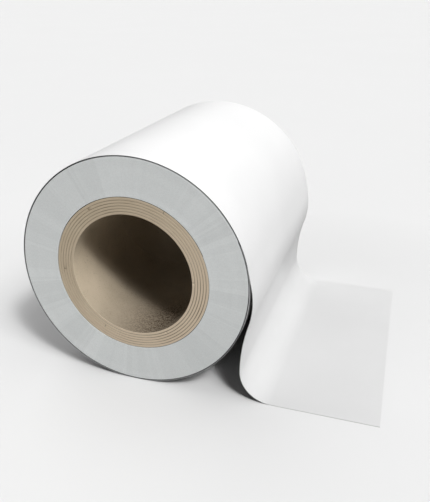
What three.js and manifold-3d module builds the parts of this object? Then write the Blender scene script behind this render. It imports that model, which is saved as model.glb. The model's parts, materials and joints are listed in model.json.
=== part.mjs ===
// A roll of sign vinyl lying on its side: self-adhesive film on a paper release liner, wound on a
// paperboard core, with its free end run off the roll and lying flat beside it.
// Millimetres, +Z up. The core's axis runs along Y, and the free end runs out along +X.
import * as THREE from "three";
import { mergeVertices } from "three/addons/utils/BufferGeometryUtils.js";
import Module from "manifold-3d";

const DEGREE = Math.PI / 180;

// ---- Driving sizes ----

const ROLL_WIDTH = 174; // the strip's slit width, and the core's length
const ROLL_RADIUS = 72.3; // out to the film where the free end leaves the roll

const BORE_RADIUS = 38.1; // a 3 inch core
const PLY_COUNT = 6;
const PLY_THICKNESS = 1.6;
const GLUE_LINE = 0.1; // between two plies
const SEAM_LEAD = 141; // how far a ply's butt seam runs along the core in one turn
const SEAM_GAP = 0.4; // along the core, between the two edges of a ply's strip
const SEAM_STAGGER = 5; // sixths of a turn from one ply's seam to the next one's

const FILM_THICKNESS = 0.1; // the vinyl with its adhesive
const LINER_THICKNESS = 0.15;
const LAYER_GAP = 0.05; // between two sheets that lie on each other
const TURN_SLACK = 0.15; // air under the loosened outer turn
const PACK_CLEARANCE = 0.15; // between the wound turns and the outer turn, so that they can turn

const TAPE_THICKNESS = 0.1;
const TAPE_ANGLE = 34 * DEGREE; // how far the tape reaches round the core
const TAPE_MARGIN = 8; // from the tape's ends to the core's ends

const LEAVE_ANGLE = 11.25 * DEGREE; // above the roll's side, where the free end leaves it
const TUCK_ANGLE = 11.25 * DEGREE; // how far the outer turn reaches on under its own end
const FALL_LENGTH = 10.9; // straight, from the roll to the first bend
const BULGE_RADIUS = 50.3; // first bend, away from the roll
const LEAN_ANGLE = 16.65 * DEGREE; // how far the sheet then leans back under the roll
const FOOT_RADIUS = 19.1; // last bend, out onto the table
const FLAT_LENGTH = 63.1; // lying flat, along the near edge
const CUT_SKEW = 1 * DEGREE; // the free edge is cut a little out of square
const PEEL_LENGTH = 26; // the part of the film that can be peeled off its liner
const HINGE_GAP = 0.3; // between sheets that swing against each other

const FACETS = 64; // round every turn, ply and tube
const BULGE_STEPS = 8;
const LEAN_STEPS = 6;
const FOOT_STEPS = 14;
const WELD = 1e-4; // corners closer than this are one corner

// ---- Sizes that follow ----

const FACET = (2 * Math.PI) / FACETS;
const STRIP_THICKNESS = FILM_THICKNESS + LAYER_GAP + LINER_THICKNESS;
const TURN_PITCH = STRIP_THICKNESS + TURN_SLACK;
const PLY_PITCH = PLY_THICKNESS + GLUE_LINE;
const FIRST_SEAM = FACET / 3; // keeps the seams off the facets' corners
const CORE_RADIUS = BORE_RADIUS + PLY_COUNT * PLY_PITCH - GLUE_LINE;
const TAPE_RADIUS = CORE_RADIUS + LAYER_GAP;
const PACK_INNER_RADIUS = TAPE_RADIUS + TAPE_THICKNESS + LAYER_GAP;
const PACK_RADIUS = turnRadius(LEAVE_ANGLE + 2 * Math.PI + TUCK_ANGLE) - STRIP_THICKNESS - PACK_CLEARANCE;
const AXIS_HEIGHT = turnRadius(1.5 * Math.PI); // the outer turn rests on the table

// The outer turn's radius at an angle round the roll: one pitch smaller for each turn inwards.
function turnRadius(angle) {
  return ROLL_RADIUS - (TURN_PITCH * (angle - LEAVE_ANGLE)) / (2 * Math.PI);
}

// ---- Materials ----

const paperboard = new THREE.MeshStandardMaterial({ color: 0xb3a07e, roughness: 0.9, metalness: 0 });
const vinyl = new THREE.MeshStandardMaterial({ color: 0xeef0ef, roughness: 0.42, metalness: 0 });
const linerPaper = new THREE.MeshStandardMaterial({ color: 0xd9d9d6, roughness: 0.6, metalness: 0 });
const packEdge = new THREE.MeshStandardMaterial({ color: 0xbcbfbe, roughness: 0.55, metalness: 0 });
const tape = new THREE.MeshStandardMaterial({ color: 0xd8c79a, roughness: 0.35, metalness: 0 });

// ---- Helpers ----

const roll = new THREE.Group();
const onAxis = new THREE.Group(); // what is centred on the core's axis
onAxis.position.z = AXIS_HEIGHT;
roll.add(onAxis);

function addPiece(group, name, geometry, material) {
  const mesh = new THREE.Mesh(geometry, material);
  mesh.name = name;
  group.add(mesh);
}

// An outline in the X-Z plane, carried along Y over a width centred on Y = 0.
function acrossRoll(shape, width) {
  const geometry = new THREE.ExtrudeGeometry(shape, { depth: width, bevelEnabled: false });
  return geometry.rotateX(Math.PI / 2).translate(0, width / 2, 0);
}

// The circle's points at the facets' corners, which every turn and ply shares.
function circlePoints(radius) {
  const points = [];
  for (let i = 0; i < FACETS; i++) {
    const angle = LEAVE_ANGLE + i * FACET;
    points.push(new THREE.Vector2(radius * Math.cos(angle), radius * Math.sin(angle)));
  }
  return points;
}

function tubeGeometry(innerRadius, outerRadius, width) {
  const shape = new THREE.Shape(circlePoints(outerRadius));
  shape.holes.push(new THREE.Path(circlePoints(innerRadius)));
  return acrossRoll(shape, width);
}

// Where a path's corner goes when the path is moved sideways, to the right of its direction, so
// that every straight stretch moves by the same distance.
function cornerNormals(path) {
  return path.map((point, i) => {
    const before = path[Math.max(i - 1, 0)];
    const after = path[Math.min(i + 1, path.length - 1)];
    const into = point.clone().sub(i > 0 ? before : after).multiplyScalar(i > 0 ? 1 : -1).normalize();
    const out = after.clone().sub(point).normalize();
    if (i === path.length - 1) out.copy(into);
    const sum = into.add(out);
    const half = sum.length() / 2; // the cosine of half the corner's turn
    sum.normalize();
    return new THREE.Vector2(sum.y, -sum.x).divideScalar(half);
  });
}

// A sheet between two distances to the right of a path, from one of its points to another.
function sheetGeometry(path, normals, first, last, near, far) {
  const side = (distance) => {
    const points = [];
    for (let i = first; i <= last; i++) {
      points.push(path[i].clone().addScaledVector(normals[i], distance));
    }
    return points;
  };
  return acrossRoll(new THREE.Shape([...side(near), ...side(far).reverse()]), ROLL_WIDTH);
}

// ---- Paperboard core: strips wound on a mandrel, each a ply with a spiral butt seam ----

const wasm = await Module();
wasm.setup();

function toSolid(geometry) {
  const bare = new THREE.BufferGeometry().setIndex(geometry.index);
  bare.setAttribute("position", geometry.getAttribute("position"));
  const merged = mergeVertices(bare, WELD);
  const vertProperties = new Float32Array(merged.attributes.position.array);
  const triVerts = new Uint32Array(merged.index.array);
  return new wasm.Manifold(new wasm.Mesh({ numProp: 3, vertProperties, triVerts }));
}

function fromSolid(solid) {
  const mesh = solid.getMesh();
  const geometry = new THREE.BufferGeometry();
  geometry.setAttribute("position", new THREE.BufferAttribute(mesh.vertProperties, 3));
  geometry.setIndex(new THREE.BufferAttribute(mesh.triVerts, 1));
  geometry.computeVertexNormals();
  return geometry;
}

// A thin wall standing on a spiral line round the core, from inside a ply to outside it: what
// the ply loses at its butt seam.
function seamWall(innerRadius, outerRadius, startAngle) {
  const reach = 1;
  const from = -ROLL_WIDTH / 2 - SEAM_GAP - reach;
  const turns = (2 * -from) / SEAM_LEAD;
  const steps = Math.ceil((turns * FACETS) / 2);
  const positions = [];
  const index = [];
  for (let i = 0; i <= steps; i++) {
    const angle = startAngle + (2 * Math.PI * turns * i) / steps;
    const y = from + (turns * SEAM_LEAD * i) / steps;
    for (const radius of [innerRadius - reach, outerRadius + reach]) {
      for (const side of [-SEAM_GAP / 2, SEAM_GAP / 2]) {
        positions.push(radius * Math.cos(angle), y + side, radius * Math.sin(angle));
      }
    }
  }
  const quad = (a, b, c, d) => index.push(a, b, c, a, c, d);
  for (let i = 0; i < steps; i++) {
    const here = 4 * i;
    const next = here + 4;
    quad(here, next, next + 1, here + 1);
    quad(here + 1, next + 1, next + 3, here + 3);
    quad(here + 3, next + 3, next + 2, here + 2);
    quad(here + 2, next + 2, next, here);
  }
  const end = 4 * steps;
  quad(0, 1, 3, 2);
  quad(end, end + 2, end + 3, end + 1);
  const geometry = new THREE.BufferGeometry();
  geometry.setAttribute("position", new THREE.Float32BufferAttribute(positions, 3));
  return geometry.setIndex(index);
}

for (let ply = 0; ply < PLY_COUNT; ply++) {
  const inner = BORE_RADIUS + ply * PLY_PITCH;
  const outer = inner + PLY_THICKNESS;
  const startAngle = FIRST_SEAM + ply * SEAM_STAGGER * (Math.PI / 3);
  const tube = toSolid(tubeGeometry(inner, outer, ROLL_WIDTH));
  const wound = tube.subtract(toSolid(seamWall(inner, outer, startAngle)));
  addPiece(onAxis, `core_ply_${ply + 1}`, fromSolid(wound), paperboard);
}

// ---- Tape that holds the strip's start to the core ----

const tapeFacets = Math.round(TAPE_ANGLE / FACET);
const tapePath = circlePoints(TAPE_RADIUS + TAPE_THICKNESS).slice(FACETS / 2, FACETS / 2 + tapeFacets + 1);
const tapeInside = circlePoints(TAPE_RADIUS).slice(FACETS / 2, FACETS / 2 + tapeFacets + 1);
const tapeShape = new THREE.Shape([...tapePath, ...tapeInside.reverse()]);
addPiece(onAxis, "start_tape", acrossRoll(tapeShape, ROLL_WIDTH - 2 * TAPE_MARGIN), tape);

// ---- Wound turns, as one ring ----

addPiece(onAxis, "wound_turns", tubeGeometry(PACK_INNER_RADIUS, PACK_RADIUS, ROLL_WIDTH), packEdge);

// ---- Outer turn and the free end, along the film's outer face ----

// Extends a path by an arc, which a positive turn bends to the left, and returns its last heading.
function addArc(path, heading, radius, turn, steps) {
  const side = Math.sign(turn) * radius;
  const start = path[path.length - 1];
  const centre = new THREE.Vector2(start.x - side * Math.sin(heading), start.y + side * Math.cos(heading));
  for (let i = 1; i <= steps; i++) {
    const now = heading + (turn * i) / steps;
    path.push(new THREE.Vector2(centre.x + side * Math.sin(now), centre.y - side * Math.cos(now)));
  }
  return heading + turn;
}

const stripPath = [];
const turnSteps = Math.round((2 * Math.PI + TUCK_ANGLE) / FACET);
for (let i = turnSteps; i >= 0; i--) {
  const angle = LEAVE_ANGLE + i * FACET;
  const radius = turnRadius(angle);
  stripPath.push(new THREE.Vector2(radius * Math.cos(angle), AXIS_HEIGHT + radius * Math.sin(angle)));
}
const leavePoint = stripPath[turnSteps];

const leaveHeading = LEAVE_ANGLE - Math.PI / 2;
const fall = new THREE.Vector2(Math.cos(leaveHeading), Math.sin(leaveHeading)).multiplyScalar(FALL_LENGTH);
stripPath.push(leavePoint.clone().add(fall));
let heading = addArc(stripPath, leaveHeading, BULGE_RADIUS, -LEAVE_ANGLE - LEAN_ANGLE, BULGE_STEPS);

// The next bend brings the sheet upright again just above its foot, so its radius follows from
// the height that is left.
const heightLeft = stripPath[stripPath.length - 1].y - STRIP_THICKNESS - FOOT_RADIUS;
heading = addArc(stripPath, heading, heightLeft / Math.sin(LEAN_ANGLE), LEAN_ANGLE, LEAN_STEPS);
addArc(stripPath, heading, FOOT_RADIUS, Math.PI / 2, FOOT_STEPS);

const normals = cornerNormals(stripPath);
const lastStep = stripPath.length - 1;
const linerTop = FILM_THICKNESS + LAYER_GAP;
const stretches = [
  ["outer_turn", 0, turnSteps],
  ["falling", turnSteps, lastStep],
];
for (const [stretch, first, last] of stretches) {
  const film = sheetGeometry(stripPath, normals, first, last, 0, FILM_THICKNESS);
  const liner = sheetGeometry(stripPath, normals, first, last, linerTop, STRIP_THICKNESS);
  addPiece(roll, `${stretch}_film`, film, vinyl);
  addPiece(roll, `${stretch}_liner`, liner, linerPaper);
}

// ---- Flat end, lying on the table ----

const touchX = stripPath[lastStep].x;
const freeX = touchX + FLAT_LENGTH; // the free edge, at the near side
const peelX = freeX - PEEL_LENGTH;
const skewShift = ROLL_WIDTH * Math.tan(CUT_SKEW); // how far the far side falls short of it

// A flat sheet between two lines across the strip, each given at the near side and the far side.
function flatGeometry(near0, near1, far0, far1, bottom, thickness) {
  const half = ROLL_WIDTH / 2;
  const corners = [
    [near0, -half],
    [near1, -half],
    [far1, half],
    [far0, half],
  ];
  const shape = new THREE.Shape(corners.map(([x, y]) => new THREE.Vector2(x, y)));
  const geometry = new THREE.ExtrudeGeometry(shape, { depth: thickness, bevelEnabled: false });
  return geometry.translate(0, 0, bottom);
}

const flatX = touchX + HINGE_GAP;
const filmBottom = STRIP_THICKNESS - FILM_THICKNESS;
const flatLiner = flatGeometry(flatX, freeX, flatX, freeX - skewShift, 0, LINER_THICKNESS);
const flatFilm = flatGeometry(flatX, peelX, flatX, peelX, filmBottom, FILM_THICKNESS);
const peelFilm = flatGeometry(
  peelX + HINGE_GAP, freeX, peelX + HINGE_GAP, freeX - skewShift, filmBottom, FILM_THICKNESS,
);
addPiece(roll, "flat_end_liner", flatLiner, linerPaper);
addPiece(roll, "flat_end_film", flatFilm, vinyl);
addPiece(roll, "peel_edge_film", peelFilm, vinyl);

// ---- Origin: under the middle of the whole object's box, on the table ----

const size = new THREE.Box3().setFromObject(roll);
roll.position.x = -(size.min.x + size.max.x) / 2;
roll.position.z = -size.min.z;

export default roll;
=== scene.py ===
# A roll of sign vinyl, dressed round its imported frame.
#
# The strip is film on a release liner. It goes once round the roll, leaves it a little above its
# side, falls in a shallow S and lies flat. Lengths are in metres, angles in radians.

import json
import math

import bpy
import numpy as np
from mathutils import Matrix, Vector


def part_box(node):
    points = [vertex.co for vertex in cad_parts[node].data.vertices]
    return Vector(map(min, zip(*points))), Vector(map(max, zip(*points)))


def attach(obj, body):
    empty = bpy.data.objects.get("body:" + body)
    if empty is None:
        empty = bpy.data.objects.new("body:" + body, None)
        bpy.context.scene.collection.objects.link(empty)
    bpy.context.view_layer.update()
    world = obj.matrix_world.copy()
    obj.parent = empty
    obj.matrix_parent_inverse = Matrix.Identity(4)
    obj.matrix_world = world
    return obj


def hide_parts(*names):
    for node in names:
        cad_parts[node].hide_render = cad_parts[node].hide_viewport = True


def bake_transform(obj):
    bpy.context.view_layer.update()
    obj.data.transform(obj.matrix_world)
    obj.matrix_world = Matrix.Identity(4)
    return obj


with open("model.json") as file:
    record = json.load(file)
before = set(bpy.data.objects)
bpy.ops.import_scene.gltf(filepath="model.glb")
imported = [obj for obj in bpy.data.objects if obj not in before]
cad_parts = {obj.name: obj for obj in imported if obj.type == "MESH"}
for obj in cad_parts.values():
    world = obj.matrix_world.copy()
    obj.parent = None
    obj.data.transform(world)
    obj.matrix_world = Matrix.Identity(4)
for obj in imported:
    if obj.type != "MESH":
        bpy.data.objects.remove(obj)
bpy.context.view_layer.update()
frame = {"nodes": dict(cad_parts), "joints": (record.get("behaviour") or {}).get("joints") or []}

MM = 0.001

# ---------------------------------------------------------------- sizes taken from the frame


def radii(node):
    """Smallest and largest distance of a node's corners from the roll's axis."""
    mesh = frame["nodes"][node].data
    points = np.empty(len(mesh.vertices) * 3)
    mesh.vertices.foreach_get("co", points)
    points = points.reshape(-1, 3)
    away = np.hypot(points[:, 0] - AXIS_X, points[:, 2] - AXIS_Z)
    return away.min(), away.max()


low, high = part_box("core_ply_1")
AXIS_X = (low.x + high.x) / 2
AXIS_Z = (low.z + high.z) / 2
HALF_WIDTH = high.y
PLIES = [radii(f"core_ply_{i}") for i in range(1, 7)]
PACK_INNER, _ = radii("wound_turns")
JOINTS = {joint["name"]: joint for joint in frame["joints"]}
TOUCH_X = JOINTS["end_lift"]["pos_m"][0]
FREE_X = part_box("flat_end_liner")[1].x
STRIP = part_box("flat_end_film")[1].z
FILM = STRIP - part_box("flat_end_film")[0].z
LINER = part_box("flat_end_liner")[1].z

# The strip's line, as the maker set it.
LEAVE = math.radians(11.25)  # angle round the axis where the strip leaves the roll
TUCK = math.radians(11.25)  # how far the outer turn runs on under itself
ROLL_RADIUS = 72.3 * MM
TURN_PITCH = 0.36 * MM  # how much nearer the axis the outer turn is after one turn inwards
FALL = 10.9 * MM  # straight length, just off the roll
BULGE_RADIUS = 50.3 * MM
LEAN = math.radians(16.65)  # how far the strip leans back under the roll
FOOT_RADIUS = 19.1 * MM
CUT_SKEW = math.tan(math.radians(1.0))  # the free edge is cut a little out of square
SEAM_LEAD = 141 * MM  # along the core, for one turn of a ply's seam
TURN_THICKNESS = 0.25 * MM  # film and liner together, wound tight
OUTER_GAP = 0.22 * MM  # between the wound turns and the tucked end of the outer turn
PACK_REACH = ROLL_RADIUS - STRIP - TURN_PITCH * (1 + TUCK / (2 * math.pi)) - OUTER_GAP


# ---------------------------------------------------------------- camera, light and floor

CAMERA_AT = (AXIS_X + 146.25 * MM, -HALF_WIDTH - 288.06 * MM, 228.6 * MM)
CAMERA_AZIMUTH = math.radians(18.15)
CAMERA_ELEVATION = math.radians(23.76)
FOCAL_SHARE = 607 / 502  # focal length as a share of the frame's height


def add_camera():
    data = bpy.data.cameras.new("camera")
    data.sensor_width = 36
    data.lens = FOCAL_SHARE * data.sensor_width
    data.clip_start = 0.01
    camera = bpy.data.objects.new("camera", data)
    camera.location = CAMERA_AT
    camera.rotation_euler = (math.pi / 2 - CAMERA_ELEVATION, 0, CAMERA_AZIMUTH)
    bpy.context.scene.collection.objects.link(camera)
    bpy.context.scene.camera = camera


def add_sun(name, azimuth, elevation, strength, spread):
    """A distant light that shines from an azimuth (0 from the roll's near end, +90 from the side
    of its free end) and an elevation, and spreads over an angle, all in degrees."""
    data = bpy.data.lights.new(name, "SUN")
    data.energy = strength
    data.angle = math.radians(spread)
    light = bpy.data.objects.new(name, data)
    light.rotation_euler = (math.radians(90 - elevation), 0, math.radians(azimuth))
    bpy.context.scene.collection.objects.link(light)


def add_backdrop(colour):
    """A plain backdrop that the camera sees past the floor's edge, and that lights nothing."""
    world = bpy.data.worlds.new("studio")
    bpy.context.scene.world = world
    world.use_nodes = True
    nodes, links = world.node_tree.nodes, world.node_tree.links
    nodes["Background"].inputs["Color"].default_value = colour
    seen = nodes.new("ShaderNodeLightPath").outputs["Is Camera Ray"]
    links.new(seen, nodes["Background"].inputs["Strength"])


add_camera()


# ---------------------------------------------------------------- mesh helpers


def grid_faces(rows, columns):
    """Four-sided faces of a grid of points numbered row by row."""
    here = np.arange(rows * columns).reshape(rows, columns)
    return np.stack(
        [here[:-1, :-1], here[1:, :-1], here[1:, 1:], here[:-1, 1:]], axis=-1
    ).reshape(-1, 4)


def loop_faces(first, second):
    """Faces between two closed loops of as many points."""
    return np.stack(
        [first, np.roll(first, -1), np.roll(second, -1), second], axis=-1
    )


def add_piece(name, points, faces, materials, face_material=None, uv=None, values=None, sharp=50):
    """A mesh object from points (n, 3) and four-sided faces (m, 4), with a UV pair or named
    values for each point. Edges that turn more than `sharp` degrees stay crisp."""
    mesh = bpy.data.meshes.new(name)
    mesh.vertices.add(len(points))
    mesh.vertices.foreach_set("co", np.ascontiguousarray(points, np.float32).ravel())
    mesh.loops.add(len(faces) * 4)
    mesh.loops.foreach_set("vertex_index", np.ascontiguousarray(faces, np.int32).ravel())
    mesh.polygons.add(len(faces))
    mesh.polygons.foreach_set("loop_start", np.arange(0, len(faces) * 4, 4, dtype=np.int32))
    if face_material is not None:
        mesh.polygons.foreach_set("material_index", np.asarray(face_material, np.int32))
    mesh.update(calc_edges=True)
    for label, value in (values or {}).items():
        layer = mesh.attributes.new(label, "FLOAT", "POINT")
        layer.data.foreach_set("value", np.asarray(value, np.float32))
    if uv is not None:
        layer = mesh.uv_layers.new(name="flat_lay")
        layer.data.foreach_set("uv", np.asarray(uv, np.float32)[faces.ravel()].ravel())
    mesh.validate()
    mesh.shade_smooth()
    mesh.set_sharp_from_angle(angle=math.radians(sharp))
    for material in materials:
        mesh.materials.append(material)
    piece = bpy.data.objects.new(name, mesh)
    bpy.context.scene.collection.objects.link(piece)
    return piece


def round_axis(radius, angle, y):
    """Points at a radius and an angle round the roll's axis."""
    radius, angle, y = np.broadcast_arrays(radius, angle, y)
    return np.stack(
        [AXIS_X + radius * np.cos(angle), y, AXIS_Z + radius * np.sin(angle)], axis=-1
    )


def smooth(t):
    """0 before 0, 1 after 1, and an even S between."""
    t = np.clip(t, 0, 1)
    return t * t * (3 - 2 * t)


def waves(position, lengths, seed):
    """A sum of sines of the given wavelengths, with set random phases, between -1 and 1."""
    phases = np.random.default_rng(seed).uniform(0, 2 * np.pi, len(lengths))
    total = sum(np.sin(2 * np.pi * position / w + p) for w, p in zip(lengths, phases))
    return total / len(lengths)


# ---------------------------------------------------------------- shader helpers


def linear(red, green, blue):
    """A screen colour, 0 to 255, as the shader's own red, green, blue and alpha."""
    share = np.array([red, green, blue]) / 255
    made = np.where(share <= 0.04045, share / 12.92, ((share + 0.055) / 1.055) ** 2.4)
    return (*(float(c) for c in made), 1.0)


class Tree:
    """A short way to add and join shader nodes."""

    def __init__(self, tree):
        self.tree = tree

    def node(self, kind, inputs=None, **settings):
        made = self.tree.nodes.new(kind)
        for key, value in settings.items():
            setattr(made, key, value)
        for key, value in (inputs or {}).items():
            if isinstance(value, bpy.types.NodeSocket):
                self.tree.links.new(value, made.inputs[key])
            else:
                made.inputs[key].default_value = value
        return made

    def math(self, operation, a, b=0.0):
        made = self.node("ShaderNodeMath", {0: a, 1: b}, operation=operation)
        return made.outputs[0]

    def vector(self, operation, a, b=(0, 0, 0)):
        made = self.node("ShaderNodeVectorMath", {0: a, 1: b}, operation=operation)
        return made.outputs[0]

    def length(self, vector):
        made = self.node("ShaderNodeVectorMath", {0: vector}, operation="LENGTH")
        return made.outputs["Value"]

    def direction(self, vector):
        return self.vector("NORMALIZE", vector)

    def parts(self, vector):
        return self.node("ShaderNodeSeparateXYZ", {"Vector": vector}).outputs

    def noise(self, vector, scale, detail, roughness):
        made = self.node(
            "ShaderNodeTexNoise",
            {"Vector": vector, "Scale": scale, "Detail": detail, "Roughness": roughness},
        )
        return made.outputs["Fac"]

    def between(self, value, low, high, to_low=0.0, to_high=1.0):
        ends = {"From Min": low, "From Max": high, "To Min": to_low, "To Max": to_high}
        made = self.node("ShaderNodeMapRange", {"Value": value, **ends}, clamp=True)
        return made.outputs["Result"]

    def mix(self, factor, a, b, blend="MIX"):
        made = self.node("ShaderNodeMix", data_type="RGBA", blend_type=blend)
        for index, value in ((0, factor), (6, a), (7, b)):
            if isinstance(value, bpy.types.NodeSocket):
                self.tree.links.new(value, made.inputs[index])
            else:
                made.inputs[index].default_value = value
        return made.outputs[2]


def new_group(name, inputs, outputs):
    """An empty node group with named sockets: (Tree, input sockets, output node)."""
    group = bpy.data.node_groups.new(name, "ShaderNodeTree")
    for label, kind, value in inputs:
        socket = group.interface.new_socket(label, in_out="INPUT", socket_type=kind)
        if value is not None:
            socket.default_value = value
    for label, kind in outputs:
        group.interface.new_socket(label, in_out="OUTPUT", socket_type=kind)
    tree = Tree(group)
    return tree, tree.node("NodeGroupInput").outputs, tree.node("NodeGroupOutput").inputs


def paper_fibre_group():
    """Short fibres lying every way: three stretched noises turned against each other. Puts out a
    mask of pale fibres, one of dark flecks, and their height."""
    tree, given, out = new_group(
        "paper_fibres",
        [("Vector", "NodeSocketVector", None), ("Fineness", "NodeSocketFloat", 1.0)],
        [(label, "NodeSocketFloat") for label in ("Fibres", "Flecks", "Height")],
    )
    sized = tree.node(
        "ShaderNodeVectorMath", {0: given["Vector"], "Scale": given["Fineness"]}, operation="SCALE"
    ).outputs[0]
    layers = []
    for turn, tilt in ((0.3, 0.2), (1.4, 0.9), (2.5, 1.7)):
        lying = tree.node(
            "ShaderNodeMapping",
            {"Vector": sized, "Rotation": (tilt, turn, turn * 0.7), "Scale": (1.0, 5.0, 4.0)},
        ).outputs[0]
        layers.append(tree.noise(lying, 420.0, 2.0, 0.6))
    fibres = tree.math("ADD", tree.math("ADD", layers[0], layers[1]), layers[2])
    fibres = tree.between(fibres, 1.2, 1.8)
    spots = tree.noise(sized, 1300.0, 2.0, 0.5)
    patches = tree.between(tree.noise(sized, 160.0, 2.0, 0.5), 0.42, 0.62)
    flecks = tree.math("MULTIPLY", tree.between(spots, 0.60, 0.70), patches)
    tree.tree.links.new(fibres, out["Fibres"])
    tree.tree.links.new(flecks, out["Flecks"])
    height = tree.math("SUBTRACT", fibres, tree.math("MULTIPLY", flecks, 0.6))
    tree.tree.links.new(height, out["Height"])
    return tree.tree


def handling_group():
    """What handling leaves on a smooth face: broad faint clouds and a few fine hairline rubs."""
    tree, given, out = new_group(
        "handling",
        [("Vector", "NodeSocketVector", None)],
        [("Clouds", "NodeSocketFloat"), ("Rubs", "NodeSocketFloat")],
    )
    clouds = tree.noise(given["Vector"], 22.0, 3.0, 0.55)
    tree.tree.links.new(tree.between(clouds, 0.3, 0.7), out["Clouds"])
    drawn = tree.node(
        "ShaderNodeMapping",
        {"Vector": given["Vector"], "Rotation": (0, 0, 0.5), "Scale": (30, 900, 1)},
    ).outputs[0]
    lines = tree.between(tree.noise(drawn, 1.0, 1.0, 0.4), 0.70, 0.78)
    gate = tree.between(tree.noise(given["Vector"], 40.0, 1.0, 0.5), 0.52, 0.62)
    tree.tree.links.new(tree.math("MULTIPLY", lines, gate), out["Rubs"])
    return tree.tree


PAPER_FIBRES = paper_fibre_group()
HANDLING = handling_group()


def new_material(name, roughness, specular):
    """(material, Tree, its Principled BSDF), with constants on the shader's own sockets."""
    material = bpy.data.materials.new(name)
    material.use_nodes = True
    tree = Tree(material.node_tree)
    shader = material.node_tree.nodes["Principled BSDF"]
    shader.inputs["Roughness"].default_value = roughness
    shader.inputs["Specular IOR Level"].default_value = specular
    return material, tree, shader


def join(tree, output, node, socket):
    tree.tree.links.new(output, node.inputs[socket])


def bump(tree, shader, height, distance, strength):
    given = {"Height": height, "Distance": distance, "Strength": strength}
    join(tree, tree.node("ShaderNodeBump", given).outputs[0], shader, "Normal")


def about_axis(tree):
    """Object coordinates measured from the roll's axis."""
    place = tree.node("ShaderNodeTexCoord").outputs["Object"]
    return tree.node(
        "ShaderNodeMapping", {"Vector": place, "Location": (-AXIS_X, 0, -AXIS_Z)}
    ).outputs[0]


# Centre and reach of the dark specks painted as shade low in the bore.
SHADE_SPECKS_AT = (17 * MM, -HALF_WIDTH + 16 * MM, -34 * MM)  # low in the bore, by the near end
SHADE_SPECKS_SHAPE = (1 / (34 * MM), 1 / (42 * MM), 1 / (28 * MM))  # one over its reach each way


def core_board_material():
    """Brown-grey board: pale fibres, dark flecks and broad clouds. It is painted paler towards the
    left of the bore as painted light, and dark specks are painted as shade low in the near end of
    the bore."""
    material, tree, shader = new_material("core_board", 0.88, 0.25)
    place = about_axis(tree)
    fibres = tree.node("ShaderNodeGroup", {"Vector": place}, node_tree=PAPER_FIBRES)
    clouds = tree.between(tree.noise(place, 45.0, 4.0, 0.6), 0.3, 0.7)
    # Painted light: the board is painted paler towards the left and a little up, where light falls
    # on the bore's wall, and keeps its darker tone elsewhere.
    parts = tree.parts(place)
    side = tree.math("SUBTRACT", tree.math("MULTIPLY", parts["Z"], 0.35), parts["X"])
    paler = tree.between(side, 0.0, PLIES[0][0])
    base_board = tree.mix(clouds, linear(149, 137, 119), linear(160, 147, 129))
    painted_light_board = tree.mix(clouds, linear(208, 192, 167), linear(221, 204, 179))
    board = tree.mix(tree.math("POWER", paler, 1.5), base_board, painted_light_board)
    pale = tree.math("MULTIPLY", fibres.outputs["Fibres"], 0.35)
    board = tree.mix(pale, board, linear(186, 174, 153))
    dark = tree.math("MULTIPLY", fibres.outputs["Flecks"], 0.4)
    board = tree.mix(dark, board, linear(78, 61, 44))
    # Painted shade: dark specks painted low in the bore by the near end, where the bore lies in
    # shade.
    spot = tree.vector("SUBTRACT", place, SHADE_SPECKS_AT)
    far = tree.length(tree.vector("MULTIPLY", spot, SHADE_SPECKS_SHAPE))
    speck_noise = tree.between(tree.noise(place, 950.0, 3.0, 0.7), 0.54, 0.46, 0.2, 1.0)
    shade_specks = tree.math("MULTIPLY", tree.between(far, 1.0, 0.15), speck_noise)
    board = tree.mix(shade_specks, board, linear(74, 60, 46))
    join(tree, board, shader, "Base Color")
    join(tree, tree.between(fibres.outputs["Fibres"], 0, 1, 0.80, 0.95), shader, "Roughness")
    bump(tree, shader, fibres.outputs["Height"], 0.06 * MM, 0.8)
    return material


PAPER_LAYER = 0.42 * MM  # pitch of the fine rings in a ply


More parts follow.
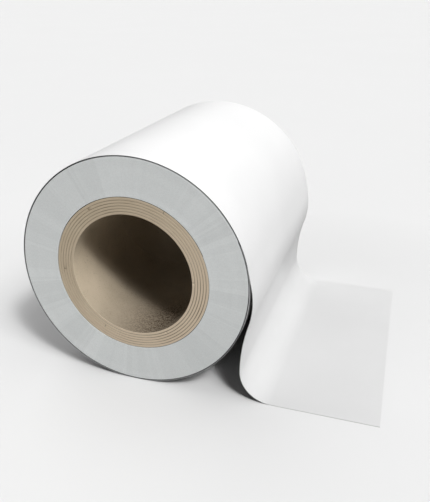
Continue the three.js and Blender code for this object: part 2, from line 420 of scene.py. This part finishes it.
def cut_board_material():
    """The board's sawn ends: fibres seen end on, fine rings of the paper's own layers, and darker
    glue soaked into the edges of each ply. The saw smeared the glue most where it cut along the
    rings, and the ends are lighter towards the lower right."""
    material, tree, shader = new_material("core_board_cut", 0.92, 0.2)
    place = about_axis(tree)
    flat = tree.vector("MULTIPLY", place, (1, 0, 1))
    away = tree.length(flat)
    ripple = tree.math("MULTIPLY", tree.noise(place, 300.0, 2.0, 0.5), 0.5 * MM)
    rings = tree.math("MULTIPLY", tree.math("ADD", away, ripple), 2 * math.pi / PAPER_LAYER)
    rings = tree.between(tree.math("SINE", rings), -1, 1)
    grain = tree.noise(place, 2600.0, 3.0, 0.6)
    clouds = tree.between(tree.noise(place, 70.0, 3.0, 0.5), 0.3, 0.7)
    board = tree.mix(clouds, linear(204, 187, 161), linear(213, 196, 171))
    parts = tree.parts(tree.direction(flat))
    # The ends are made lighter towards the lower right.
    side = tree.math("SUBTRACT", parts["X"], parts["Z"])
    lighter_lower_right = tree.between(side, -1.0, 1.0)
    board = tree.mix(lighter_lower_right, board, linear(232, 213, 188))
    board = tree.mix(tree.math("MULTIPLY", rings, 0.22), board, linear(160, 141, 114))
    board = tree.mix(tree.between(grain, 0.45, 0.75, 0.0, 0.45), board, linear(214, 201, 178))
    wander = tree.between(tree.noise(place, 55.0, 2.0, 0.5), 0.3, 0.7, -0.05, 0.05)
    from_bore = tree.math("SUBTRACT", away, PLIES[0][0])
    ply = tree.math("DIVIDE", from_bore, PLIES[1][0] - PLIES[0][0])
    edge = tree.math("PINGPONG", tree.math("ADD", ply, 0.02), 0.5)
    glue = tree.between(tree.math("ADD", edge, wander), 0.16, 0.05)
    inside = tree.between(ply, 0.3, 0.5)
    outside = tree.between(ply, 5.7, 5.5)
    glue = tree.math("MULTIPLY", glue, tree.math("MULTIPLY", inside, outside))
    patches = tree.noise(tree.vector("MULTIPLY", place, (25, 0, 25)), 1.0, 2.0, 0.5)
    patchy = tree.between(patches, 0.35, 0.65, 0.65, 1.0)
    smear = tree.between(tree.math("ABSOLUTE", side), 0.35, 1.30, 0.22, 0.80)
    patchy = tree.math("MULTIPLY", patchy, smear)
    board = tree.mix(tree.math("MULTIPLY", glue, patchy), board, linear(108, 92, 72))
    join(tree, board, shader, "Base Color")
    height = tree.math("ADD", tree.math("MULTIPLY", rings, 0.5), grain)
    bump(tree, shader, height, 0.05 * MM, 0.7)
    return material


def sector_tone(tree, angle, count, drift):
    """A random tone for each of `count` sectors round the axis, their bounds moved by `drift`."""
    sector = tree.math("MULTIPLY", tree.math("ADD", angle, drift), count / (2 * math.pi))
    given = {"W": tree.math("FLOOR", sector)}
    return tree.node("ShaderNodeTexWhiteNoise", given, noise_dimensions="1D").outputs["Value"]


def wound_edge_material():
    """The wound strip's slit edges: film and liner in turn, in faint sectors that run outward
    where the winder pulled the strip a little more or less, and a fine grain."""
    material, tree, shader = new_material("wound_edges", 0.62, 0.35)
    place = about_axis(tree)
    parts = tree.parts(place)
    angle = tree.math("ARCTAN2", parts["Z"], parts["X"])
    way = tree.direction(tree.vector("MULTIPLY", place, (1, 0, 1)))
    drift = tree.math("MULTIPLY", tree.noise(way, 3.0, 2.0, 0.5), 0.9)
    wide = sector_tone(tree, angle, 31, drift)
    narrow = sector_tone(tree, angle, 83, tree.math("MULTIPLY", drift, 1.7))
    lines = tree.noise(way, 60.0, 2.0, 0.6)
    sectors = tree.math("MULTIPLY", wide, 0.45)
    sectors = tree.math("ADD", sectors, tree.math("MULTIPLY", narrow, 0.30))
    sectors = tree.math("ADD", sectors, tree.math("MULTIPLY", lines, 0.25))
    tone = tree.mix(sectors, linear(231, 234, 233), linear(248, 251, 250))
    # Rows of the ends: the groove between turns is painted darker as shade.
    layer = tree.node("ShaderNodeAttribute", attribute_name="row_tone_and_groove_shade").outputs["Fac"]
    shade = tree.between(layer, 0, 1, 0.90, 1.02)
    grey = {"Red": shade, "Green": shade, "Blue": shade}
    shaded = tree.node("ShaderNodeCombineColor", grey).outputs[0]
    tone = tree.mix(1.0, tone, shaded, "MULTIPLY")
    grain = tree.between(tree.noise(place, 1500.0, 2.0, 0.6), 0.35, 0.65, 0.0, 0.10)
    tone = tree.mix(grain, tone, linear(170, 172, 170))
    join(tree, tone, shader, "Base Color")
    join(tree, tree.between(lines, 0.3, 0.7, 0.55, 0.72), shader, "Roughness")
    bump(tree, shader, tree.noise(place, 1600.0, 2.0, 0.5), 0.02 * MM, 0.5)
    return material


# Distances along the strip from its tucked end, and the lengths over which its look changes.
PAINTED_LIGHT_TO, PAINTED_LIGHT_FADE = 310 * MM, 90 * MM
THIN_FROM, THIN_FADE = 472 * MM, 60 * MM


def vinyl_material():
    """White calendered film: satin, with the faintest orange peel and clouds from handling. It is
    painted whiter on the side of the roll away from the free end, as painted light on the roll's
    upper left. It is thin, so off the roll, with no white turns behind it, it looks a little
    greyer."""
    material, tree, shader = new_material("vinyl_film", 0.42, 0.42)
    lay = tree.node("ShaderNodeUVMap", uv_map="flat_lay").outputs[0]
    marks = tree.node("ShaderNodeGroup", {"Vector": lay}, node_tree=HANDLING)
    white = tree.mix(marks.outputs["Clouds"], linear(234, 234, 234), linear(237, 237, 237))
    along = tree.parts(lay)["X"]
    # Painted light: the film is painted whiter over its first stretch from the tucked end, on the
    # roll's side away from the free end.
    painted_light_share = tree.between(along, PAINTED_LIGHT_TO + PAINTED_LIGHT_FADE, PAINTED_LIGHT_TO)
    white = tree.mix(painted_light_share, white, linear(250, 250, 250))
    thin = tree.between(along, THIN_FROM, THIN_FROM + THIN_FADE)
    white = tree.mix(thin, white, tree.mix(1.0, white, linear(229, 229, 229), "MULTIPLY"))
    join(tree, white, shader, "Base Color")
    rough = tree.between(marks.outputs["Clouds"], 0, 1, 0.40, 0.46)
    rough = tree.math("ADD", rough, tree.math("MULTIPLY", marks.outputs["Rubs"], 0.10))
    join(tree, rough, shader, "Roughness")
    peel = tree.noise(lay, 900.0, 2.0, 0.5)
    height = tree.math("SUBTRACT", peel, tree.math("MULTIPLY", marks.outputs["Rubs"], 0.5))
    bump(tree, shader, height, 0.004 * MM, 0.5)
    return material


def adhesive_material():
    """The film's clear adhesive over its white back: glossy, faintly grey, with the fine pebbled
    print of the liner."""
    material, tree, shader = new_material("adhesive", 0.30, 0.5)
    lay = tree.node("ShaderNodeUVMap", uv_map="flat_lay").outputs[0]
    clouds = tree.between(tree.noise(lay, 90.0, 3.0, 0.5), 0.3, 0.7)
    join(tree, tree.mix(clouds, linear(208, 210, 210), linear(217, 218, 218)), shader, "Base Color")
    pebbles = tree.noise(lay, 1800.0, 2.0, 0.5)
    join(tree, tree.between(pebbles, 0.3, 0.7, 0.24, 0.38), shader, "Roughness")
    bump(tree, shader, pebbles, 0.01 * MM, 0.6)
    return material


def liner_material(name, roughness, low, high):
    """One side of the release paper, between two tones: smooth, with a trace of its fibres."""
    material, tree, shader = new_material(name, roughness, 0.4)
    lay = tree.node("ShaderNodeUVMap", uv_map="flat_lay").outputs[0]
    given = {"Vector": lay, "Fineness": 0.6}
    fibres = tree.node("ShaderNodeGroup", given, node_tree=PAPER_FIBRES)
    tone = tree.mix(tree.math("MULTIPLY", fibres.outputs["Fibres"], 0.25), low, high)
    join(tree, tone, shader, "Base Color")
    rough = tree.between(fibres.outputs["Fibres"], 0, 1, roughness - 0.05, roughness + 0.07)
    join(tree, rough, shader, "Roughness")
    bump(tree, shader, fibres.outputs["Height"], 0.01 * MM, 0.5)
    return material


def tape_material():
    """Clear brown packing tape, with the board's tone showing through in faint clouds."""
    material, tree, shader = new_material("start_tape", 0.28, 0.5)
    place = about_axis(tree)
    clouds = tree.between(tree.noise(place, 120.0, 3.0, 0.5), 0.3, 0.7)
    join(tree, tree.mix(clouds, linear(196, 174, 122), linear(208, 188, 140)), shader, "Base Color")
    bump(tree, shader, tree.noise(place, 500.0, 2.0, 0.5), 0.02 * MM, 0.5)
    return material


# The floor is painted darker round this place, as painted shade, and fades to its usual tone
# between two distances.
PAINTED_SHADE_AT = (FREE_X - 40 * MM, HALF_WIDTH + 10 * MM, 0)
PAINTED_SHADE_WITHIN, PAINTED_SHADE_UNTIL = 40 * MM, 170 * MM


def floor_material():
    """A plain pale sweep, with painted shade by the free end's far corner. Its bounce is dimmer
    than it looks, so that hollows stay dark."""
    material, tree, shader = new_material("floor", 0.95, 0.0)
    place = tree.node("ShaderNodeTexCoord").outputs["Object"]
    tone = tree.mix(tree.noise(place, 3.0, 2.0, 0.5), linear(219, 219, 219), linear(221, 221, 221))
    # Painted shade: the floor is painted darker round the free end's far corner.
    away = tree.length(tree.vector("SUBTRACT", place, PAINTED_SHADE_AT))
    painted_shade_share = tree.between(away, PAINTED_SHADE_UNTIL, PAINTED_SHADE_WITHIN)
    tone = tree.mix(painted_shade_share, tone, linear(212, 212, 212))
    seen = tree.node("ShaderNodeLightPath").outputs["Is Camera Ray"]
    join(tree, tree.mix(seen, linear(121, 121, 121), tone), shader, "Base Color")
    return material


# ---------------------------------------------------------------- paperboard core

PLY_ROWS = 120
PLY_COLUMNS = 128
PLY_GAP = 0.3 * MM  # along the core, between the butted edges of a ply's strip
EDGE_ROUND = 0.22 * MM  # radius of the plies' edges
ROUND_STEPS = 7
FIRST_SEAM = 2 * math.pi / 192  # angle of the innermost ply's seam, at the near end
SEAM_STAGGER = 5  # sixths of a turn from one ply's seam to the next
SEAM_CURL, SEAM_CURL_REACH = 0.05 * MM, 2.0 * MM  # of the innermost ply, into the bore
BORE_WAVE = 0.015 * MM  # most that a ply's bore side stands off its circle
END_SCATTER = 0.10 * MM  # the plies do not end quite level
BURR, BURR_REACH = 0.05 * MM, 1.5 * MM  # left by the saw
BOARD = core_board_material()
CUT_BOARD = cut_board_material()


def ply_profile(inner, outer, number):
    """Distances along the core and radii, once round a ply's wall: in along the bore side, over
    the far end, and back along the outside. The ends are rounded off."""
    end = np.random.default_rng(40 + number).uniform(0.0, END_SCATTER, 2)
    low, high = -HALF_WIDTH + end[0], HALF_WIDTH - end[1]
    straight = np.linspace(low + EDGE_ROUND, high - EDGE_ROUND, PLY_ROWS)
    near = low + EDGE_ROUND * (1 - np.cos(np.linspace(0, 1, ROUND_STEPS) * np.pi / 2))[:-1]
    far = (low + high) - near[::-1]
    along = np.concatenate([near, straight, far])
    into = np.minimum(along - low, high - along)
    left = np.clip(1 - into / EDGE_ROUND, 0, 1)
    dip = EDGE_ROUND * (1 - np.sqrt(1 - left**2))
    return along, inner + dip, outer - dip


def add_ply(number, inner, outer):
    """One ply as the strip it is wound from: at a distance y along the core the strip starts at
    angle a(y) = start + 2 pi y / lead and goes once round to its own other edge. The bore side
    waves very slightly, and in the innermost ply it also curls in at the seam, by
    curl exp(-(distance from the seam / reach)^2). The ends have a wavy burr."""
    along, inside, outside = ply_profile(inner, outer, number)
    rows = len(along)
    start = ((number - 1) * SEAM_STAGGER % 6) * math.pi / 3 + FIRST_SEAM
    seam = start + 2 * np.pi * (along + HALF_WIDTH) / SEAM_LEAD
    half_gap = np.pi * PLY_GAP / SEAM_LEAD
    share = np.linspace(0, 1, PLY_COLUMNS + 1)
    turn = half_gap + share * (2 * np.pi - 2 * half_gap)
    angle = seam[:, None] + turn[None, :]
    from_seam = np.minimum(turn, 2 * np.pi - turn) * SEAM_LEAD / (2 * np.pi)
    curl = SEAM_CURL * np.exp(-((from_seam / SEAM_CURL_REACH) ** 2))
    wave = BORE_WAVE * waves(angle * inner + along[:, None] * 0.7, (0.031, 0.019, 0.047), number)
    bore_side = inside[:, None] + wave - (curl if number == 1 else 0)
    burr = BURR * (1 + waves(turn * inner, (0.011, 0.0041, 0.0017), 60 + number))
    y = along[:, None] + np.zeros_like(angle)
    near_end = smooth(1 - (along - along[0]) / BURR_REACH)[:, None]
    far_end = smooth(1 - (along[-1] - along) / BURR_REACH)[:, None]
    y = y + burr * near_end - burr * far_end
    inner_points = round_axis(bore_side, angle, y).reshape(-1, 3)
    outer_points = round_axis(outside[:, None] + 0 * angle, angle, y).reshape(-1, 3)
    count = len(inner_points)
    ids = np.arange(count).reshape(rows, PLY_COLUMNS + 1)
    inner_faces = grid_faces(rows, PLY_COLUMNS + 1)
    outer_faces = inner_faces[:, ::-1] + count
    walls = []
    for border in (ids[0], ids[-1, ::-1], ids[::-1, 0], ids[:, -1]):
        here, there = border[:-1], border[1:]
        walls.append(np.stack([here, there, there + count, here + count], axis=-1))
    faces = np.concatenate([inner_faces, outer_faces, *walls])[:, ::-1]
    points = np.concatenate([inner_points, outer_points])
    depth = HALF_WIDTH - np.abs(points[faces].mean(axis=1)[:, 1])
    cut = (depth < EDGE_ROUND).astype(int)
    piece = add_piece(f"core_board_{number}", points, faces, [BOARD, CUT_BOARD], cut, sharp=60)
    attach(piece, "wound_roll")
    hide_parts(f"core_ply_{number}")


for index, (ply_inner, ply_outer) in enumerate(PLIES, start=1):
    add_ply(index, ply_inner, ply_outer)

tape_node = frame["nodes"]["start_tape"]
tape_node.data.materials.clear()
tape_node.data.materials.append(tape_material())


# ---------------------------------------------------------------- wound turns

PACK_ANGLES = 160
ROWS_PER_TURN = 3  # the groove under a turn, its film edge and its liner edge
LAYER_DEPTH = np.array([0.045, 0.0, 0.012]) * MM
# Tone of each row: the groove row is painted darker as shade in the groove between turns; the liner
# edge is a little greyer than the film's.
ROW_TONE_AND_GROOVE_SHADE = np.array([0.1, 1.0, 0.75])
WANDER = 0.03 * MM  # slow waves of the ends, from the winding
TURN_LIFT = 0.008 * MM  # most that one turn stands back from its neighbours


def add_wound_turns():
    """The wound strip as one body whose ends show every turn. Grid lines follow the spiral
    r = r0 + pitch (k / 3 + a / 2 pi), with a measured back from where the outer turn tucks in, so
    line k at the end of a turn runs on as line k + 3. The ends' depth is a slow wander of the
    winding, plus each turn's own lift and each layer's own step."""
    turns = round((PACK_REACH - PACK_INNER) / TURN_THICKNESS) - 1
    pitch = (PACK_REACH - PACK_INNER) / (turns + 1)
    lines = turns * ROWS_PER_TURN
    k = np.arange(lines + 1)
    wound = np.arange(PACK_ANGLES)[:, None] * 2 * np.pi / PACK_ANGLES
    radius = PACK_INNER + pitch * (k[None, :] / ROWS_PER_TURN + wound / (2 * np.pi))
    angle = LEAVE + TUCK - wound
    wander = WANDER * (1 + waves(radius, (0.0117, 0.0071), 7))
    lift = np.random.default_rng(11).uniform(0, TURN_LIFT, turns + 2)
    each = np.interp((radius - PACK_INNER) / pitch, np.arange(len(lift)), lift)
    depth = wander + each + LAYER_DEPTH[k % ROWS_PER_TURN][None, :]
    near = round_axis(radius, angle, -HALF_WIDTH + depth).reshape(-1, 3)
    far = round_axis(radius, angle, HALF_WIDTH - depth).reshape(-1, 3)
    ids = np.arange(PACK_ANGLES * (lines + 1)).reshape(PACK_ANGLES, lines + 1)
    step = ROWS_PER_TURN
    closing = np.stack(
        [ids[-1, : -1 - step], ids[0, step:-1], ids[0, step + 1 :], ids[-1, 1:-step]], axis=-1
    )
    face = np.concatenate([grid_faces(PACK_ANGLES, lines + 1), closing])
    count = ids.size
    inner_loop = np.concatenate([ids[:, 0], ids[0, step:0:-1]])
    outer_loop = np.concatenate([ids[:, -1], ids[-1, -2 : -2 - step : -1]])
    bore_wall = loop_faces(inner_loop, inner_loop + count)[:, ::-1]
    rim_wall = loop_faces(outer_loop, outer_loop + count)
    faces = np.concatenate([face, face[:, ::-1] + count, bore_wall, rim_wall])
    tone = np.tile(np.broadcast_to(ROW_TONE_AND_GROOVE_SHADE[k % ROWS_PER_TURN], ids.shape).ravel(), 2)
    points = np.concatenate([near, far])
    piece = add_piece(
        "wound_strip", points, faces, [wound_edge_material()], values={"row_tone_and_groove_shade": tone}, sharp=60
    )
    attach(piece, "wound_roll")
    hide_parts("wound_turns")


add_wound_turns()


# ---------------------------------------------------------------- outer turn and free end

ACROSS = 60
TURN_STEP = math.radians(2)
FLAT_STEP = 2.0 * MM
SPLIT_X = TOUCH_X + 34 * MM  # where the piece of film that can be peeled begins
SWAY_LENGTH = 86 * MM  # of the fall, over which the strip stands off its drawn line
FAR_SIDE_IN = 0.7 * MM  # how much closer to the roll the far side falls
CROSS_WAVE = 0.10 * MM  # of the falling strip, across its width


def strip_line():
    """The film's outer face in the X-Z plane, down to the table: x, z, heading and distance, and
    how many of its points are on the roll. First the turn, a spiral that loses one pitch each
    turn inwards; then stretches of steady curvature, where heading is the running sum of
    curvature times step, and each step is the chord 2 sin(turn / 2) / curvature along the
    middle heading."""
    angle = np.arange(2 * np.pi + TUCK, 1e-6, -TURN_STEP)
    angle = np.append(angle, 0) + LEAVE
    radius = ROLL_RADIUS - TURN_PITCH * (angle - LEAVE) / (2 * np.pi)
    x = AXIS_X + radius * np.cos(angle)
    z = AXIS_Z + radius * np.sin(angle)
    left = z[-1] - FALL * math.cos(LEAVE)
    left -= BULGE_RADIUS * (math.sin(LEAVE) + math.sin(LEAN)) + FOOT_RADIUS + STRIP
    sway_radius = left / math.sin(LEAN)
    stretches = [  # length, curvature and number of steps
        (FALL, 0, 4),
        (BULGE_RADIUS * (LEAVE + LEAN), -1 / BULGE_RADIUS, 22),
        (sway_radius * LEAN, 1 / sway_radius, 18),
        (FOOT_RADIUS * math.pi / 2, 1 / FOOT_RADIUS, 36),
    ]
    step = np.concatenate([np.full(n, length / n) for length, _, n in stretches])
    bend = np.concatenate([np.full(n, curve) for _, curve, n in stretches])
    turned = np.cumsum(step * bend)
    middle = LEAVE - math.pi / 2 + turned - step * bend / 2
    chord = step * np.sinc(step * bend / (2 * np.pi))
    x = np.concatenate([x, x[-1] + np.cumsum(chord * np.cos(middle))])
    z = np.concatenate([z, z[-1] + np.cumsum(chord * np.sin(middle))])
    heading = np.concatenate([angle - math.pi / 2, LEAVE - math.pi / 2 + turned])
    distance = np.concatenate([[0], np.cumsum(np.hypot(np.diff(x), np.diff(z)))])
    return x, z, heading, distance, len(angle)


def lay_of(after, y):
    """How far the strip stands off its drawn line, outward, at a distance after it leaves the
    roll: sin^2 along the fall, times the sum of a lean that brings the far side a little closer
    to the roll and a slow wave across."""
    t = np.clip(after / SWAY_LENGTH, 0, 1)
    bulge = np.sin(np.pi * t) ** 2
    across = y / (2 * HALF_WIDTH)
    closer = -FAR_SIDE_IN * (across + 0.5)
    wave = CROSS_WAVE * waves(y + 0.3 * after, (0.071, 0.113), 5)
    return bulge * (closer + wave)


def add_sheet(name, materials, wound_edge, top, bottom, from_x, to_x, skewed):
    """The strip between two depths under its outer face, whole or only where it lies flat from
    `from_x` on. Each point moves along the face's normal (sin heading, -cos heading) by its
    depth, and the flat part stretches evenly to a free edge that is slanted by the cut's skew.
    Its face and its back have the two materials given. Its edges have the first on the free end,
    and the one numbered `wound_edge` where it is wound on, darker as painted shade round the roll."""
    x, z, heading, distance, on_roll = strip_line()
    leave = distance[on_roll - 1]
    flat_from = TOUCH_X if from_x is None else from_x
    steps = max(2, round((to_x - flat_from) / FLAT_STEP))
    flat_x = np.linspace(flat_from, to_x, steps + 1)
    before = len(x) - 1 if from_x is None else 0  # points of the line ahead of the flat part
    share = (flat_x - flat_from) / (to_x - flat_from)
    share = np.concatenate([np.zeros(before), share])
    distance = np.concatenate([distance[:before], distance[-1] + flat_x - TOUCH_X])
    x = np.concatenate([x[:before], flat_x])
    z = np.concatenate([z[:before], np.full(steps + 1, STRIP)])
    heading = np.concatenate([heading[:before], np.zeros(steps + 1)])
    y = np.linspace(-HALF_WIDTH, HALF_WIDTH, ACROSS)
    out = lay_of(distance[:, None] - leave, y[None, :])
    slant = -CUT_SKEW * (y + HALF_WIDTH) if skewed else 0 * y
    sides = []
    for deep in (top, bottom):
        move = deep - out
        px = x[:, None] + move * np.sin(heading)[:, None] + share[:, None] * slant[None, :]
        pz = z[:, None] - move * np.cos(heading)[:, None]
        sides.append(np.stack([px, np.broadcast_to(y, px.shape), pz], axis=-1).reshape(-1, 3))
    rows = len(x)
    count = rows * ACROSS
    ids = np.arange(count).reshape(rows, ACROSS)
    upper = grid_faces(rows, ACROSS)
    edge = np.concatenate([ids[0, :-1], ids[:-1, -1], ids[-1, :0:-1], ids[:0:-1, 0]])
    faces = np.concatenate([upper, upper[:, ::-1] + count, loop_faces(edge, edge + count)])
    lay = np.stack(np.broadcast_arrays(distance[:, None], y[None, :]), axis=-1).reshape(-1, 2)
    edge_side = np.where(distance[edge // ACROSS] < leave, wound_edge, 0)
    sided = np.concatenate([np.zeros(len(upper)), np.ones(len(upper)), edge_side])
    piece = add_piece(name, np.concatenate(sides), faces, materials, sided, np.tile(lay, (2, 1)))
    return piece, float(distance[-1] - distance[0])


VINYL = [vinyl_material(), adhesive_material()]
LINER_PAPER = [
    liner_material("release_face", 0.34, linear(205, 206, 202), linear(216, 217, 213)),
    # The liner's back is painted dark grey: painted shade for the strip's shaded underside and the
    # dark line round the roll's rim.
    liner_material("liner_back_painted_shade", 0.55, linear(118, 119, 120), linear(136, 137, 138)),
]


def dress_strip():
    # On the roll the film's edges take the grey adhesive and the liner's the dark back, as painted
    # shade.
    film, run = add_sheet("outer_film", VINYL, 1, 0, FILM, None, SPLIT_X, False)
    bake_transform(film)
    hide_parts("outer_turn_film", "falling_film", "flat_end_film")

    tip, run = add_sheet("peel_edge", VINYL, 0, 0, FILM, SPLIT_X, FREE_X, True)
    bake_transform(tip)
    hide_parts("peel_edge_film")

    liner_top = STRIP - LINER
    liner, run = add_sheet("release_liner", LINER_PAPER, 1, liner_top, STRIP, None, FREE_X, True)
    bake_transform(liner)
    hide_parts("outer_turn_liner", "falling_liner", "flat_end_liner")


dress_strip()


# ---------------------------------------------------------------- studio

FLOOR_HALF = 20.0
FLOOR_DROP = 0.02 * MM  # keeps the floor clear of the liner's underside


def add_floor():
    side = np.array([-FLOOR_HALF, FLOOR_HALF])
    points = np.stack(np.meshgrid(side, side, [-FLOOR_DROP], indexing="ij"), axis=-1)
    points = points.reshape(-1, 3)
    floor = add_piece("floor", points, np.array([[0, 2, 3, 1]]), [floor_material()])


add_floor()
add_backdrop(linear(241, 241, 241))
add_sun("key", azimuth=54, elevation=48.6, strength=1.85, spread=24)
add_sun("key_core", azimuth=47.4, elevation=48.6, strength=1.13, spread=7)
add_sun("far_left", azimuth=-120, elevation=50, strength=1.05, spread=50)
add_sun("far_right", azimuth=135, elevation=50, strength=0.35, spread=50)
add_sun("overhead", azimuth=0, elevation=90, strength=0.32, spread=50)
add_sun("right", azimuth=90, elevation=15, strength=0.60, spread=28)
add_sun("near", azimuth=-5, elevation=15, strength=0.34, spread=50)
bpy.context.scene.view_settings.view_transform = "Standard"
